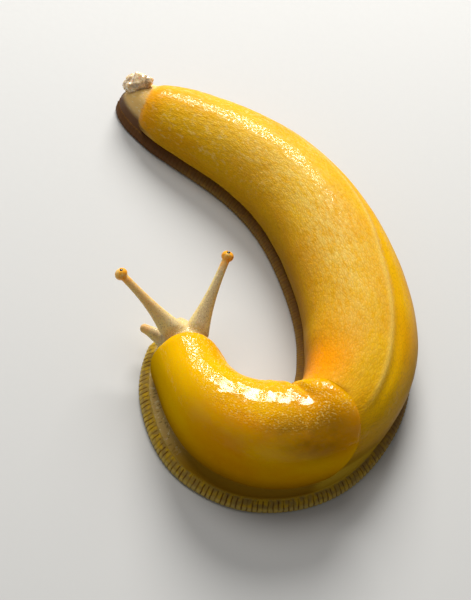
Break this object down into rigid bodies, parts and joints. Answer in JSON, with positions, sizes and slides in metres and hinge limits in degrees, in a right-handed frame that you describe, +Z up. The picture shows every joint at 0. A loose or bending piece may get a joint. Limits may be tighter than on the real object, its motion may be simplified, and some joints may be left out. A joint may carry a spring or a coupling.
{
  "type": "banana slug model",
  "caption": "Life-size still model of a banana slug curled into a C as it crawls, with its mantle, grooved foot fringe and tentacles out.",
  "frame": {"origin": "centre of the bounding box, on the plane that the sole rests on", "axes": "+Z up; +Y along the longest extent, from the mantle towards the tail; +X towards the outside of the bend of the body"},
  "size_m": [0.0811, 0.1018, 0.0194],
  "materials": {
    "banana_yellow_skin": "wet, finely wrinkled skin",
    "mantle_golden_skin": "wet, smooth skin",
    "foot_fringe_olive": "wet, grooved skin",
    "head_beige_skin": "wet, speckled skin",
    "eye_black": "glossy",
    "dried_slime": "half-dried slime"
  },
  "bodies": {
    "root": {"tail": "banana_yellow_skin", "torso_hind": "banana_yellow_skin", "torso_middle": "banana_yellow_skin", "torso_front": "banana_yellow_skin", "neck": "banana_yellow_skin", "head": "head_beige_skin", "mantle": "mantle_golden_skin", "foot_tail": "foot_fringe_olive", "foot_hind": "foot_fringe_olive", "foot_middle": "foot_fringe_olive", "foot_front": "foot_fringe_olive", "foot_neck": "foot_fringe_olive", "foot_head": "foot_fringe_olive", "upper_tentacle_left": "head_beige_skin", "upper_tentacle_right": "head_beige_skin", "lower_tentacle_left": "head_beige_skin", "lower_tentacle_right": "head_beige_skin", "eye_left": "eye_black", "eye_right": "eye_black", "tail_tip": "head_beige_skin", "caudal_plug": "dried_slime"}
  },
  "joints": []
}
